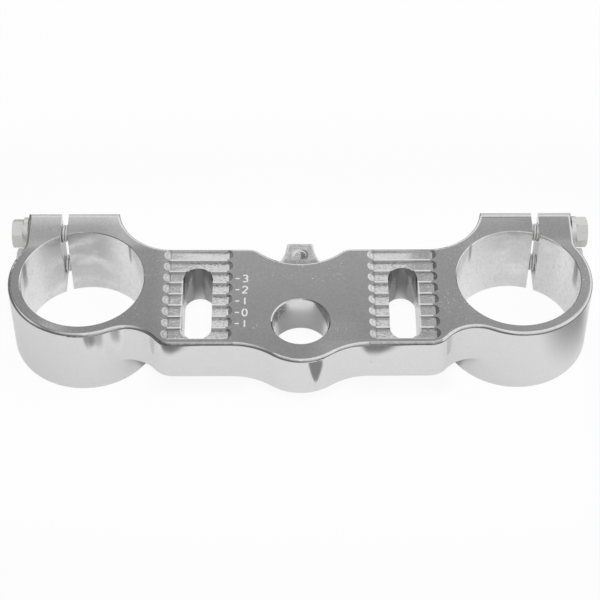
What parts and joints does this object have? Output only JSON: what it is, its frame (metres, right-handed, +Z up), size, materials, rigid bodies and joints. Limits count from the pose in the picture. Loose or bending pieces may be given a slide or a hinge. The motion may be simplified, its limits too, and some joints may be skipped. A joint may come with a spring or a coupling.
{
  "type": "motorcycle triple clamp",
  "caption": "Upper fork clamp for a motorcycle: a polished plate with a stem bore, two split fork rings closed by pinch bolts, slotted riser mounts with index grooves, and a small front tab.",
  "frame": {"origin": "on the steering stem's axis, at the floor of the shallow recess that seats on the stem's shoulder", "axes": "+X to the rider's right, from one fork axis to the other; +Y to the front of the motorcycle; +Z up along the stem"},
  "size_m": [0.2608, 0.0882, 0.0376],
  "materials": {
    "polished_aluminium": "mirror polished, with milled grooves",
    "zinc_steel": "bright zinc plated",
    "zinc_washer": "zinc plated"
  },
  "bodies": {
    "root": {"clamp_body": "polished_aluminium", "pinch_bolts": "zinc_steel", "pinch_washers": "zinc_washer"}
  },
  "joints": []
}
